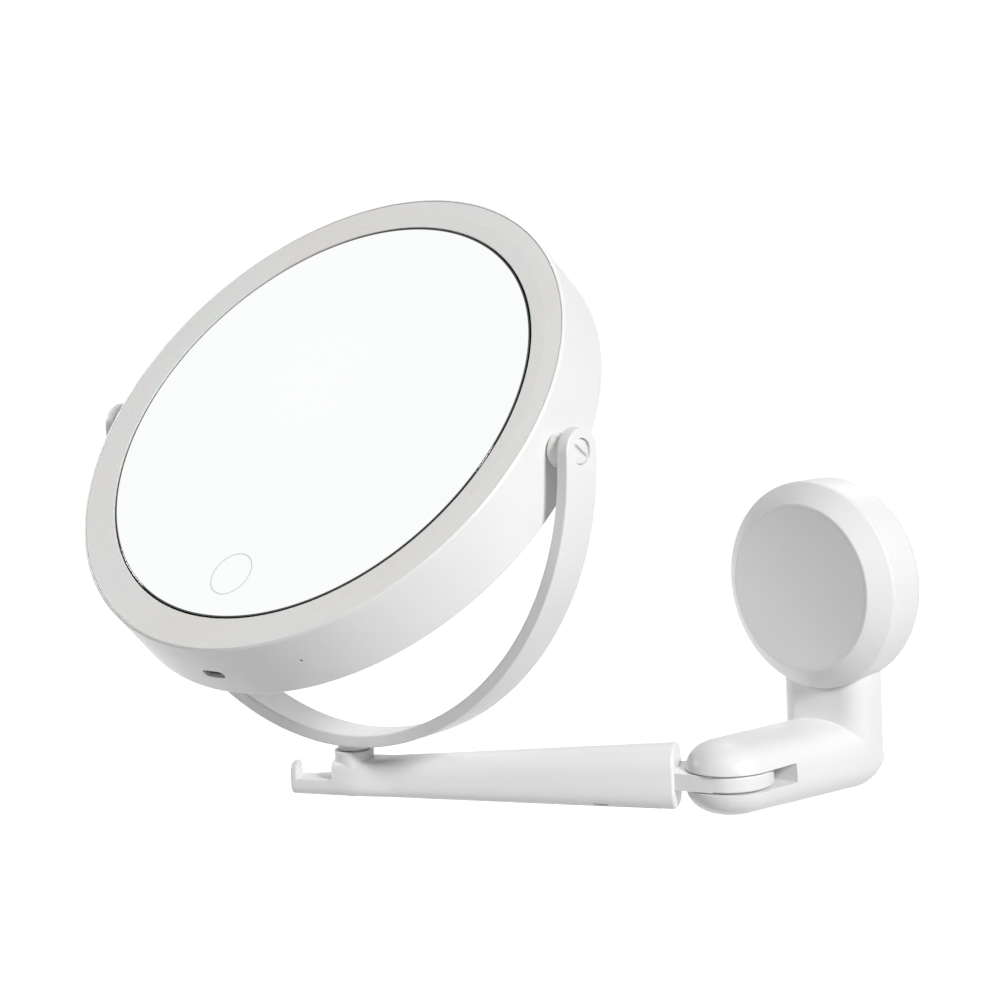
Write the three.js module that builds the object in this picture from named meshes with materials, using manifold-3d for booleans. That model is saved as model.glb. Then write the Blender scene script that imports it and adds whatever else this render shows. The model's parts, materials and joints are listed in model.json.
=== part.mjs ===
// Extendable shaving mirror: a lit round mirror in a U-shaped yoke, on a folding arm that a
// twist-lock suction base holds to a wall.
//
// Millimetres. The wall is the plane y = 0 and the room is on its -Y side. +Z is up. The origin is
// the centre of the suction pad's back face, where the pad meets the wall.

import * as THREE from 'three';
import { mergeVertices } from 'three/addons/utils/BufferGeometryUtils.js';
import Module from 'manifold-3d';

const wasm = await Module();
wasm.setup();

// ---------------------------------------------------------------------------- driving dimensions

const GAP = 0.3; // clearance between two pieces that touch

// Facets round a full turn
const LARGE = 48; // the head
const MEDIUM = 36; // the knob and its neighbours
const SMALL = 14; // screws and washers
const FINE = 8; // small holes

// Where the joints are
const FORK_OUT = 63.7; // from the wall to the arm's hinge
const FORK_DROP = 60.8; // from the pad's centre down to the arm's hinge
const ARM_LENGTH = 137; // from the arm's hinge to the yoke's swivel
const ARM_ANGLE = 33.9; // the arm's angle off the wall
const YOKE_ANGLE = 5.4; // the yoke's angle off the wall
const STEM_HEIGHT = 124.2; // from the arm's axis up to the head's pivots
const HEAD_TILT = 44.2; // how far the head leans back

// Head
const HEAD_RADIUS = 100; // at the front
const HEAD_REAR_RADIUS = 100.8;
const HEAD_FRONT = 13.36; // from the pivot axis to the head's front plane
const HEAD_REAR = 13.31; // from the pivot axis to the head's rear plane
const HEAD_WALL = 2.4;
const MIRROR_RADIUS = 86;
const GLASS_THICKNESS = 2;
const DIFFUSER_INNER = 86.6;
const DIFFUSER_OUTER = 98;
const TOUCH_DROP = 68.4; // from the mirror's centre down to the touch spot
const PORT_DEPTH = -2; // the charging port's centre, along the head's axis
const INDICATOR_ANGLE = 22.7; // from the charging port round to the indicator
const LED_COUNT = 24;
const BACK_SCREWS = 5;
const CARRIER_SCREWS = 3;

// Yoke
const YOKE_OUTER = 111.4;
const YOKE_THICKNESS = 4.6;
const YOKE_WIDTH = 16.2;
const COLLAR_RADIUS = 5.8;
const COLLAR_BOTTOM = 114.3; // from the head's pivots down to the collar's lower face
const SPIGOT_RADIUS = 4;
const SPIGOT_END = -1.9; // from the arm's axis
const PIVOT_BUSH_RADIUS = 6;
const PIVOT_SCREW_HEAD = 4.2;
const PIVOT_SCREW_SHANK = 2.1;

// Arm
const ARM_START = 18.9; // from the hinge to the arm's wide end
const ARM_END = 160.3; // from the hinge to the tip of the hook
const ARM_HALF_HEIGHT = 11.6; // at the wide end
const ARM_HALF_DEPTH = 10.3; // at the wide end
const TIP_HALF_HEIGHT = 5.6;
const TIP_HALF_DEPTH = 5.3;
const ARM_ROUNDNESS = 3; // exponent of the section's outline: 2 is an ellipse, and more is squarer
const ARM_WALL = 2.5;
const BOSS_RADIUS = 7.15;
const BOSS_TOP = 9.6;
const HOOK_GAP = [144.3, 158.1]; // the hook's slot, from the hinge
const HOOK_FLOOR = 0;
const POCKET = [24, 122]; // the hollow inside the arm, from the hinge

// Wall bracket
const FORK_RADIUS = 16.5; // at the hinge
const FORK_HALF_HEIGHT = 13.2;
const BAR_END_RADIUS = 19.4; // half the bar's width at the wall
const FORK_SAG = 2.8; // the bar's fall from the hinge to the wall
const FORK_ROUNDNESS = 2.6;
const SLOT_HEIGHT = 7;
const SLOT_REACH = 15.8; // from the hinge back to the slot's end
const TONGUE_RADIUS = 15.2;
const TONGUE_THICKNESS = 6;
const NECK_RADIUS = 19.1; // half the neck's width
const NECK_FRONT = 14.8; // from the wall to the neck's front face
const NECK_CORNER = 9;
const NECK_TOP_DROP = 28; // from the pad's centre down to the neck's upper end, inside the band
const ELBOW_RADIUS = 7;
const BRACKET_BACK = 0.9; // from the wall to the bracket's back
const BAND_FRONT = 15; // from the wall to the front of the band round the knob
const BAND_INNER = 35;
const BAND_BACK_RADIUS = 37.5;
const WEB_FRONT = 6.9;
const HUB_FRONT = 10.6;
const HINGE_SCREW_SHANK = 3;

// Suction base
const PAD_RADIUS = 37;
const PAD_RIM = 0.6; // the thin rim's thickness
const STUD_RADIUS = 4;
const STUD_FLANGE = 9.6;
const STUD_END = 17.3;
const KNOB_BACK = 9; // the skirt's end, inside the band
const KNOB_FACE = 22.2;
const KNOB_RADIUS = 38;
const KNOB_FACE_RADIUS = 30.2;
const CAP_RADIUS = 29.2;

// ------------------------------------------------------------------------------------- materials

const white = { color: 0xf3f3f1, roughness: 0.38, metalness: 0 };
const finishes = {
  white,
  frosted: { color: 0xdcdcd8, roughness: 0.6, metalness: 0 },
  mirror: { color: 0xf4f6f8, roughness: 0.03, metalness: 1 },
  foam: { color: 0x2b2b2c, roughness: 0.9, metalness: 0 },
  steel: { color: 0xb9bbbd, roughness: 0.32, metalness: 1 },
  brass: { color: 0xc9a55c, roughness: 0.35, metalness: 1 },
  nylon: { color: 0xe4e2da, roughness: 0.55, metalness: 0 },
  soft: { color: 0xd9dde0, roughness: 0.45, metalness: 0 },
  board: { color: 0x1f5a3a, roughness: 0.5, metalness: 0 },
  cell: { color: 0x9aa0a6, roughness: 0.4, metalness: 0 },
  lens: { color: 0x3c4044, roughness: 0.2, metalness: 0 },
  lead: { color: 0x8e2320, roughness: 0.5, metalness: 0 },
};

// ---------------------------------------------------------------------------------------- helpers

const degrees = THREE.MathUtils.degToRad;

// Turns a closed geometry into a solid, with its faces pointing out.
function solidOf(geometry) {
  const plain = geometry.clone();
  plain.deleteAttribute('normal');
  plain.deleteAttribute('uv');
  const merged = mergeVertices(plain, 1e-4);
  const index = merged.index.array;
  const points = merged.attributes.position.array;
  const kept = [];
  let volume = 0;
  const a = new THREE.Vector3();
  const b = new THREE.Vector3();
  const c = new THREE.Vector3();
  for (let i = 0; i < index.length; i += 3) {
    const [p, q, r] = [index[i], index[i + 1], index[i + 2]];
    if (p === q || q === r || r === p) continue;
    a.fromArray(points, 3 * p);
    b.fromArray(points, 3 * q);
    c.fromArray(points, 3 * r);
    volume += a.dot(b.cross(c));
    kept.push([p, q, r]);
  }
  const triVerts = Uint32Array.from(kept.flatMap(([p, q, r]) => (volume > 0 ? [p, q, r] : [p, r, q])));
  const vertProperties = Float32Array.from(points);
  return new wasm.Manifold(new wasm.Mesh({ numProp: 3, vertProperties, triVerts }));
}

// Turns a solid back into a geometry.
function geometryOf(solid) {
  const mesh = solid.getMesh();
  const geometry = new THREE.BufferGeometry();
  geometry.setAttribute('position', new THREE.BufferAttribute(Float32Array.from(mesh.vertProperties), 3));
  geometry.setIndex(new THREE.BufferAttribute(Uint32Array.from(mesh.triVerts), 1));
  geometry.computeVertexNormals();
  return geometry;
}

const join = (first, ...rest) => rest.reduce((sum, tool) => sum.add(tool), first);
const cut = (body, ...tools) => tools.reduce((left, tool) => left.subtract(tool), body);

// A box from its lowest to its highest corner.
function block(low, high) {
  const size = high.map((h, i) => h - low[i]);
  const middle = high.map((h, i) => (h + low[i]) / 2);
  return solidOf(new THREE.BoxGeometry(...size).translate(...middle));
}

// Lays a shape that was made round the Y axis along another axis.
const alongAxis = {
  x: (geometry) => geometry.rotateZ(-Math.PI / 2),
  z: (geometry) => geometry.rotateX(Math.PI / 2),
  out: (geometry) => geometry.rotateX(Math.PI), // +Y becomes -Y, away from the wall
};

// A turned solid: profile is a list of [radius, distance along the axis].
function turned(profile, axis, segments = SMALL) {
  const points = profile.map(([radius, along]) => new THREE.Vector2(radius, along));
  if (profile[0][0] > 0 || profile.at(-1)[0] > 0) points.push(points[0].clone());
  return solidOf(alongAxis[axis](new THREE.LatheGeometry(points, segments)));
}

// A plain round rod, and a round tube, between two distances along an axis.
function rod(radius, from, to, axis, segments = SMALL) {
  const profile = [[0, from], [radius, from], [radius, to], [0, to]];
  return turned(profile, axis, segments);
}

function tube(inner, outer, from, to, axis, segments = SMALL) {
  const profile = [[inner, from], [outer, from], [outer, to], [inner, to]];
  return turned(profile, axis, segments);
}

// Something round laid along X on one side, between two distances from the middle.
const SIDES = { left: -1, right: 1 };
const sideways = (make, side, from, to) => make(...(side > 0 ? [from, to] : [-to, -from]));

// A flat outline pushed along +Z from one height to another.
function prism(shape, from, to, curveSegments = 16) {
  const depth = to - from;
  const geometry = new THREE.ExtrudeGeometry(shape, { depth, bevelEnabled: false, curveSegments });
  return solidOf(geometry.translate(0, 0, from));
}

// A closed skin over a row of rings that all have the same number of points.
function loft(rings) {
  const count = rings[0].length;
  const points = rings.flat();
  const faces = [];
  for (let r = 0; r + 1 < rings.length; r++) {
    for (let i = 0; i < count; i++) {
      const a = r * count + i;
      const b = r * count + ((i + 1) % count);
      faces.push(a, b, b + count, a, b + count, a + count);
    }
  }
  for (const [ring, offset, flip] of [[rings[0], 0, true], [rings.at(-1), points.length - count, false]]) {
    const middle = ring.reduce((sum, p) => sum.add(p), new THREE.Vector3()).divideScalar(count);
    const centre = points.length;
    points.push(middle);
    for (let i = 0; i < count; i++) {
      const j = (i + 1) % count;
      faces.push(centre, offset + (flip ? j : i), offset + (flip ? i : j));
    }
  }
  const geometry = new THREE.BufferGeometry().setFromPoints(points);
  geometry.setIndex(faces);
  return solidOf(geometry);
}

// One quarter-symmetric outline, rounder or squarer by its exponent.
function superellipse(halfWidth, halfHeight, exponent, count = 32) {
  const bulge = (value) => Math.sign(value) * Math.abs(value) ** (2 / exponent);
  return Array.from({ length: count }, (_, i) => {
    const turn = (2 * Math.PI * i) / count;
    return [halfWidth * bulge(Math.cos(turn)), halfHeight * bulge(Math.sin(turn))];
  });
}

const ringAcrossX = (x, outline) => outline.map(([y, z]) => new THREE.Vector3(x, y, z));
const ringAcrossY = (y, outline, drop) => outline.map(([x, z]) => new THREE.Vector3(x, y, z + drop));

// A screw with a countersunk or round head, pointing along +axis from its head.
function screw({ head, headLength, shank, length, axis, conical = false, slot = 0 }) {
  const under = conical ? shank : head;
  const rise = [[under, headLength], [shank, headLength]];
  const profile = [[0, 0], [head, 0], ...rise, [shank, length], [0, length]];
  const outline = conical ? profile.filter((_, i) => i !== 3) : profile;
  let body = turned(outline, axis);
  if (slot > 0) {
    const reach = head + 1;
    const low = axis === 'x' ? [-1, -reach, -slot / 2] : [-reach, -slot / 2, -1];
    const high = axis === 'x' ? [headLength * 0.45, reach, slot / 2] : [reach, slot / 2, headLength * 0.45];
    body = cut(body, block(low, high));
  }
  return body;
}

// A thin lead along a smooth curve.
function lead(points, radius) {
  const path = new THREE.CatmullRomCurve3(points.map((p) => new THREE.Vector3(...p)));
  const outline = superellipse(radius, radius, 2, 8).map(([x, y]) => new THREE.Vector2(x, y));
  const geometry = new THREE.ExtrudeGeometry(new THREE.Shape(outline), { steps: 8, extrudePath: path });
  return solidOf(geometry);
}

function addPiece(group, name, solid, finish) {
  const mesh = new THREE.Mesh(geometryOf(solid), new THREE.MeshStandardMaterial(finishes[finish]));
  mesh.name = name;
  group.add(mesh);
  return mesh;
}

// ----------------------------------------------------------------------------- suction base pieces

// Soft round pad. Its back is flat against the wall.
function suctionPad() {
  const profile = [
    [0, 0], [PAD_RADIUS - 0.3, 0], [PAD_RADIUS, 0.3], [PAD_RADIUS - 0.3, PAD_RIM], [34.2, PAD_RIM],
    [33, 2.2], [10, 3.4], [0, 3.4],
  ];
  return turned(profile, 'out', MEDIUM);
}

// Stud bonded to the pad's middle. The knob draws it outwards.
function pullStud() {
  const [back, front] = [3.7, 5.2];
  const profile = [
    [0, back], [STUD_FLANGE, back], [STUD_FLANGE, front], [STUD_RADIUS, front],
    [STUD_RADIUS, STUD_END], [0, STUD_END],
  ];
  return turned(profile, 'out');
}

function lockKnob() {
  const bore = 8.4;
  const hub = 11.5;
  const skirt = BAND_INNER - 0.4;
  const edge = BAND_FRONT + GAP;
  const seat = KNOB_FACE - 1.75; // where the cap lies
  const profile = [
    [bore, HUB_FRONT + 1.3], [hub, HUB_FRONT + 1.3], [hub, 18.1], [28, 18.1], [skirt - 1.6, 14.8],
    [skirt - 1.6, KNOB_BACK], [skirt, KNOB_BACK], [skirt, edge], [KNOB_RADIUS - 0.6, edge],
    [KNOB_RADIUS - 0.4, edge + 0.4], [KNOB_FACE_RADIUS + 0.4, KNOB_FACE - 0.25],
    [KNOB_FACE_RADIUS - 0.1, KNOB_FACE], [CAP_RADIUS + GAP, KNOB_FACE], [CAP_RADIUS + GAP, seat],
    [bore, seat],
  ];
  return turned(profile, 'out', MEDIUM);
}

function knobCap() {
  const back = KNOB_FACE - 1.45;
  const front = KNOB_FACE - 0.05;
  const profile = [
    [0, back], [CAP_RADIUS, back], [CAP_RADIUS, front - 0.2], [CAP_RADIUS - 0.2, front], [0, front],
  ];
  return turned(profile, 'out', MEDIUM);
}

const knobNut = () => tube(STUD_RADIUS + 0.35, 8.1, HUB_FRONT + 1.6, STUD_END + 0.2, 'out');
const thrustWasher = () => tube(4.6, 11, HUB_FRONT + GAP, HUB_FRONT + 1, 'out');

// ------------------------------------------------------------------------------------ wall bracket

// Horizontal bar of the bracket. Its free end is round about the hinge. It widens and falls a little
// towards the wall, and its lower back corner is round.
function forkBar() {
  const points = 28;
  const n = FORK_ROUNDNESS;
  const tipRing = (turn) => {
    const offset = FORK_RADIUS * Math.sin(degrees(turn));
    const top = FORK_HALF_HEIGHT * (1 - (offset / FORK_RADIUS) ** n) ** (1 / n);
    const outline = superellipse(1, top, n, points).map(([side, z]) => {
      const radius = FORK_RADIUS * (1 - (Math.abs(z) / FORK_HALF_HEIGHT) ** n) ** (1 / n);
      return [Math.sign(side) * Math.sqrt(Math.max(0, radius ** 2 - offset ** 2)), z];
    });
    return ringAcrossY(-FORK_OUT - offset, outline, -FORK_DROP);
  };
  const barRing = (y, trim) => {
    const share = (y + FORK_OUT) / (FORK_OUT - BRACKET_BACK);
    const halfWidth = THREE.MathUtils.lerp(FORK_RADIUS, BAR_END_RADIUS, share);
    const outline = superellipse(halfWidth, FORK_HALF_HEIGHT - trim, n, points);
    return ringAcrossY(y, outline, -FORK_DROP - FORK_SAG * share);
  };
  const elbow = [0, 30, 60, 90].map((turn) => barRing(
    -BRACKET_BACK - ELBOW_RADIUS * (1 - Math.sin(degrees(turn))),
    ELBOW_RADIUS * (1 - Math.cos(degrees(turn))),
  ));
  return loft([...[87, 80, 68, 54, 40, 26, 12].map(tipRing), barRing(-FORK_OUT, 0), ...elbow]);
}

// Upright of the bracket, with large round corners at the front.
function neckBar() {
  const side = NECK_RADIUS;
  const front = -NECK_FRONT;
  const back = -BRACKET_BACK;
  const shape = new THREE.Shape();
  shape.moveTo(-side, back);
  shape.lineTo(-side, front + NECK_CORNER);
  shape.absarc(-side + NECK_CORNER, front + NECK_CORNER, NECK_CORNER, Math.PI, 1.5 * Math.PI, false);
  shape.absarc(side - NECK_CORNER, front + NECK_CORNER, NECK_CORNER, 1.5 * Math.PI, 2 * Math.PI, false);
  shape.lineTo(side, back);
  return prism(shape, -FORK_DROP - FORK_SAG / 2, -NECK_TOP_DROP, 3);
}

const NECK_POCKET = { half: 11.5, low: -64, high: -41, depth: 11.5 };
const REAR_COVER = { half: 12.7, low: -65, high: -40, thickness: 1.3 };

function wallBracket() {
  const band = [
    [0, BRACKET_BACK], [BAND_BACK_RADIUS - 0.3, BRACKET_BACK], [BAND_BACK_RADIUS, BRACKET_BACK + 0.4],
    [KNOB_RADIUS, BAND_FRONT - 0.4], [KNOB_RADIUS - 0.4, BAND_FRONT], [0, BAND_FRONT],
  ];
  const knobRoom = rod(BAND_INNER, WEB_FRONT, 40, 'out', MEDIUM);
  const hub = rod(13, WEB_FRONT - 1, HUB_FRONT, 'out');
  const padRoom = turned([[0, -1], [35, -1], [35, 1.2], [33.4, 2.7], [10.2, 3.9], [0, 3.9]], 'out', MEDIUM);
  const studRoom = join(rod(STUD_FLANGE + 0.5, 3, 7.4, 'out'), rod(STUD_RADIUS + 0.5, 3, 20, 'out'));
  const slotEnd = SLOT_REACH - FORK_OUT;
  const slot = block(
    [-2 * FORK_RADIUS, -FORK_OUT - 2 * FORK_RADIUS, -FORK_DROP - SLOT_HEIGHT / 2],
    [2 * FORK_RADIUS, slotEnd, -FORK_DROP + SLOT_HEIGHT / 2],
  );
  const screwRoom = join(
    rod(HINGE_SCREW_SHANK + GAP, -20, 8.9, 'z'),
    rod(5, -20, -8.6, 'z'),
    rod(4.9, 2, 9.3, 'z'),
  ).translate([0, -FORK_OUT, -FORK_DROP]);
  const p = NECK_POCKET;
  const pocket = block([-p.half, -p.depth, p.low], [p.half, 1, p.high]);
  const c = REAR_COVER;
  const rebate = block(
    [-c.half - GAP, -BRACKET_BACK - c.thickness - 2 * GAP, c.low - GAP],
    [c.half + GAP, 1, c.high + GAP],
  );
  const outer = cut(join(turned(band, 'out', MEDIUM), neckBar(), forkBar()), knobRoom);
  return cut(join(outer, hub), padRoom, studRoom, slot, screwRoom, pocket, rebate);
}

function rearCover() {
  const c = REAR_COVER;
  const back = -BRACKET_BACK - GAP;
  return block([-c.half, back - c.thickness + GAP, c.low], [c.half, back, c.high]);
}

const hingeScrew = () =>
  screw({ head: 4.6, headLength: 4, shank: HINGE_SCREW_SHANK, length: 21.4, axis: 'z', slot: 1.2 })
    .translate([0, -FORK_OUT, -FORK_DROP - 12.9]);
const hingeInsert = () => tube(HINGE_SCREW_SHANK + GAP, 4.6, 3.9, 8.9, 'z')
  .translate([0, -FORK_OUT, -FORK_DROP]);

// ----------------------------------------------------------------------------- arm pieces, from the hinge

const armShare = (x) => (x - ARM_START) / (ARM_END - ARM_START);
const armHalfHeight = (x) => THREE.MathUtils.lerp(ARM_HALF_HEIGHT, TIP_HALF_HEIGHT, armShare(x));
const armHalfDepth = (x) => THREE.MathUtils.lerp(ARM_HALF_DEPTH, TIP_HALF_DEPTH, armShare(x));

function armBody() {
  const round = 1.4; // edge rounding at both ends
  const ends = [[0, 1], [0.3, 0.4], [1, 0]];
  const stations = [
    ...ends.map(([along, inset]) => [ARM_START + round * along, round * inset]),
    ...ends.toReversed().map(([along, inset]) => [ARM_END - round * along, round * inset]),
  ];
  const rings = stations.map(([x, inset]) =>
    ringAcrossX(x, superellipse(armHalfDepth(x) - inset, armHalfHeight(x) - inset, ARM_ROUNDNESS, 24)));
  return loft(rings);
}

// Round-ended tongue that turns in the fork's slot.
function armTongue() {
  const round = 1;
  const radius = TONGUE_RADIUS - round;
  const rootHalf = 8.6;
  const meet = degrees(50);
  const shape = new THREE.Shape();
  shape.absarc(0, 0, radius, meet, 2 * Math.PI - meet, false);
  shape.lineTo(ARM_START + 0.4, -rootHalf);
  shape.lineTo(ARM_START + 6, -rootHalf);
  shape.lineTo(ARM_START + 6, rootHalf);
  shape.lineTo(ARM_START + 0.4, rootHalf);
  const geometry = new THREE.ExtrudeGeometry(shape, {
    depth: TONGUE_THICKNESS - 2 * round,
    bevelThickness: round,
    bevelSize: round,
    bevelSegments: 1,
    curveSegments: 12,
  });
  return solidOf(geometry.translate(0, 0, -TONGUE_THICKNESS / 2 + round));
}

// Tapered block inside the arm between two stations, narrower than the arm by its walls.
function armWedge(from, to, side, low, high) {
  const ring = (x) => [
    new THREE.Vector3(x, -armHalfDepth(x) + side, low(x)),
    new THREE.Vector3(x, armHalfDepth(x) - side, low(x)),
    new THREE.Vector3(x, armHalfDepth(x) - side, high(x)),
    new THREE.Vector3(x, -armHalfDepth(x) + side, high(x)),
  ];
  return loft([ring(from), ring(to)]);
}

const ARM_SCREWS = [46, 112];
const COVER_THICKNESS = 2;

function armShell() {
  const hollow = armWedge(...POCKET, ARM_WALL, () => -20, (x) => armHalfHeight(x) - ARM_WALL);
  const posts = ARM_SCREWS.map((x) => {
    const height = armHalfHeight(x);
    return rod(2.8, -height + COVER_THICKNESS + 0.6, height - ARM_WALL + 0.8, 'z').translate([x, 0, 0]);
  });
  const pilots = ARM_SCREWS.map((x) => rod(1.4, -20, 1, 'z', FINE).translate([x, 0, 0]));
  const bossProfile = [
    [0, -3], [BOSS_RADIUS - 1.4, -3], [BOSS_RADIUS, 3.5], [BOSS_RADIUS, BOSS_TOP], [0, BOSS_TOP],
  ];
  const boss = turned(bossProfile, 'z', 24).translate([ARM_LENGTH, 0, 0]);
  const swivelRoom = join(rod(SPIGOT_RADIUS + GAP, -20, 20, 'z'), rod(5, -20, -2.3, 'z'))
    .translate([ARM_LENGTH, 0, 0]);
  const hookRoom = block([HOOK_GAP[0], -20, HOOK_FLOOR], [HOOK_GAP[1], 20, 20]);
  const bushRoom = rod(5, -10, 10, 'z');
  const hollowed = join(cut(armBody(), hollow), ...posts);
  return cut(join(cut(hollowed, hookRoom), armTongue(), boss), swivelRoom, bushRoom, ...pilots);
}

function armCover() {
  const plate = armWedge(
    POCKET[0] + GAP,
    POCKET[1] - GAP,
    ARM_WALL + GAP,
    () => -20,
    (x) => -armHalfHeight(x) + COVER_THICKNESS,
  );
  const holes = ARM_SCREWS.map((x) => join(
    rod(1.7, -20, 0, 'z'),
    turned([[0, -0.2], [2.9, -0.2], [1.7, 1.1], [0, 1.1]], 'z').translate([0, 0, -armHalfHeight(x)]),
  ).translate([x, 0, 0]));
  return cut(armBody().intersect(plate), ...holes);
}

const armCoverScrew = (x) =>
  screw({ head: 2.5, headLength: 1.2, shank: 1.1, length: 7, axis: 'z', conical: true })
    .translate([x, 0, -armHalfHeight(x) + 0.1]);
const hingeBush = () => tube(HINGE_SCREW_SHANK + GAP, 4.7, -3.2, 3.2, 'z');
const swivelPlug = () => rod(4.6, -6.4, -5.9, 'z').translate([ARM_LENGTH, 0, 0]);

// -------------------------------------------------------------------- yoke pieces, from the head's pivots

function yokeFrame() {
  const inner = YOKE_OUTER - YOKE_THICKNESS;
  const shape = new THREE.Shape();
  shape.absarc(0, 0, YOKE_OUTER, Math.PI, 2 * Math.PI, false);
  shape.absarc(0, 0, inner, 2 * Math.PI, Math.PI, true);
  const half = YOKE_WIDTH / 2;
  const band = prism(shape, -half, half, 18).rotate([90, 0, 0]);
  const ears = Object.values(SIDES).map((side) =>
    sideways((a, b) => rod(half - 0.05, a, b, 'x', 24), side, inner, YOKE_OUTER));
  const stem = join(
    rod(COLLAR_RADIUS, -COLLAR_BOTTOM, -YOKE_OUTER + 2, 'z', 24),
    rod(SPIGOT_RADIUS, -STEM_HEIGHT + SPIGOT_END, -COLLAR_BOTTOM + 1, 'z'),
  );
  const stemHole = join(
    rod(1.8, -STEM_HEIGHT - 10, -STEM_HEIGHT + 7, 'z'),
    rod(0.7, -STEM_HEIGHT, -inner + 1, 'z', FINE),
  );
  const earHoles = Object.values(SIDES).flatMap((side) => [
    sideways((a, b) => rod(PIVOT_SCREW_HEAD + 0.4, a, b, 'x'), side, YOKE_OUTER - 2.4, YOKE_OUTER + 2),
    sideways((a, b) => rod(PIVOT_SCREW_SHANK + 0.4, a, b, 'x'), side, inner - 5, YOKE_OUTER + 2),
  ]);
  return cut(join(band, ...ears, stem), stemHole, ...earHoles);
}

const onStem = (solid) => solid.translate([0, 0, -STEM_HEIGHT]);
const swivelWasher = () => onStem(tube(1.9, 4.6, -3.5, -2.6, 'z'));
const swivelSpring = () => onStem(turned([[2.2, -4.5], [4.5, -4.1], [4.5, -3.8], [2.2, -4.2]], 'z'));
const swivelScrew = () => onStem(screw({ head: 2.9, headLength: 0.9, shank: 1.5, length: 11.7, axis: 'z' })
  .translate([0, 0, -5.7]));

// -------------------------------------------------------------- head pieces, from the centre of the pivots
// The head's axis is its front direction: turned profiles are [radius, distance towards the front].

const HEAD_INSIDE = HEAD_RADIUS - HEAD_WALL;
const INSERT_SPAN = [88.3, 93.8];
const SCREW_CIRCLE = 91.5;
const LEDGE = [-11.5, -9.9]; // the housing's inner rear ledge
const STANDOFF_TOP = 4.7;
const PIVOT_BOSS_RADIUS = 4.8;
const INSERT_RADIUS = 3.2;
const PORT_OPENING = [10, 3.9];

const turnsOf = (count) => Array.from({ length: count }, (_, i) => (360 / count) * (i + 0.5));

// A shift to a point on the head, turned from its lowest point towards +X.
const around = (radius, turn) => [radius * Math.sin(degrees(turn)), 0, -radius * Math.cos(degrees(turn))];

function headHousing() {
  const rear = 0.8; // rounding of the rear edge
  const profile = [
    [HEAD_RADIUS - 0.8, HEAD_FRONT], [98.3, HEAD_FRONT], [98.3, 10.7], [95.6, 10.7], [95.6, 9.2],
    [HEAD_INSIDE, 9.2], [HEAD_INSIDE, LEDGE[1]], [88, LEDGE[1]], [88, LEDGE[0]], [95, LEDGE[0]],
    [95, -HEAD_REAR], [HEAD_REAR_RADIUS - rear, -HEAD_REAR], [HEAD_REAR_RADIUS - 0.2, -HEAD_REAR + 0.3],
    [HEAD_REAR_RADIUS, -HEAD_REAR + rear], [HEAD_RADIUS, HEAD_FRONT - 0.8],
  ];
  const band = turned(profile, 'out', LARGE);
  const bosses = Object.values(SIDES).map((side) =>
    sideways((a, b) => rod(PIVOT_BOSS_RADIUS, a, b, 'x'), side, INSERT_SPAN[0] - 0.3, HEAD_INSIDE + 0.5));
  const standoffs = turnsOf(CARRIER_SCREWS).map((turn) =>
    rod(3, LEDGE[0] + 0.5, STANDOFF_TOP, 'out').translate(around(SCREW_CIRCLE, turn)));
  const pivotRoom = Object.values(SIDES).flatMap((side) => [
    sideways((a, b) => rod(PIVOT_SCREW_SHANK + GAP, a, b, 'x'), side, 80, 105),
    sideways((a, b) => rod(INSERT_RADIUS + GAP, a, b, 'x'), side, 80, INSERT_SPAN[1] + 0.3),
  ]);
  const standoffPilots = turnsOf(CARRIER_SCREWS).map((turn) =>
    rod(1.4, -6, 6, 'out', FINE).translate(around(SCREW_CIRCLE, turn)));
  const backPilots = turnsOf(BACK_SCREWS).map((turn) =>
    rod(1.4, -20, 0, 'out', FINE).translate(around(SCREW_CIRCLE, turn + 18)));
  const [portWidth, portHeight] = PORT_OPENING;
  const port = prism(roundedSlot(portWidth, portHeight), 95, 105, 3).rotate([0, 180, 0])
    .translate([0, -PORT_DEPTH, 0]);
  const indicator = rod(0.8, -105, -95, 'z', FINE).rotate([0, -INDICATOR_ANGLE, 0])
    .translate([0, -1, 0]);
  const room = [...pivotRoom, ...standoffPilots, ...backPilots, port, indicator];
  return cut(join(band, ...bosses, ...standoffs), ...room);
}

// A slot outline with full round ends.
function roundedSlot(width, height) {
  const r = height / 2;
  const shape = new THREE.Shape();
  shape.absarc(width / 2 - r, 0, r, -Math.PI / 2, Math.PI / 2, false);
  shape.absarc(-width / 2 + r, 0, r, Math.PI / 2, 1.5 * Math.PI, false);
  return shape;
}

const BACK_FACE = -13.2;
const BACK_INNER = LEDGE[0] - GAP;

function backCover() {
  const profile = [
    [0, BACK_INNER], [0, BACK_FACE + 0.6], [74, BACK_FACE + 0.6], [75.2, BACK_FACE], [94.2, BACK_FACE],
    [94.6, BACK_FACE + 0.4], [94.6, BACK_INNER],
  ];
  const holes = turnsOf(BACK_SCREWS).map((turn) => join(
    rod(1.7, -20, 0, 'out'),
    turned([[0, BACK_FACE - 0.1], [3.1, BACK_FACE - 0.1], [1.7, -12.1], [0, -12.1]], 'out'),
  ).translate(around(SCREW_CIRCLE, turn + 18)));
  const posts = [-1, 1].flatMap((side) => [-83, -66].map((up) =>
    rod(2, BACK_INNER - 0.4, BOARD_BACK - GAP, 'out', FINE).translate([side * 18, 0, up])));
  return cut(join(turned(profile, 'out', LARGE), ...posts), ...holes);
}

const backCoverScrew = (turn) =>
  screw({ head: 2.6, headLength: 1.05, shank: 1.1, length: 3.2, axis: 'out', conical: true })
    .translate([0, -BACK_FACE - 0.05, 0]).translate(around(SCREW_CIRCLE, turn + 18));

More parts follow.
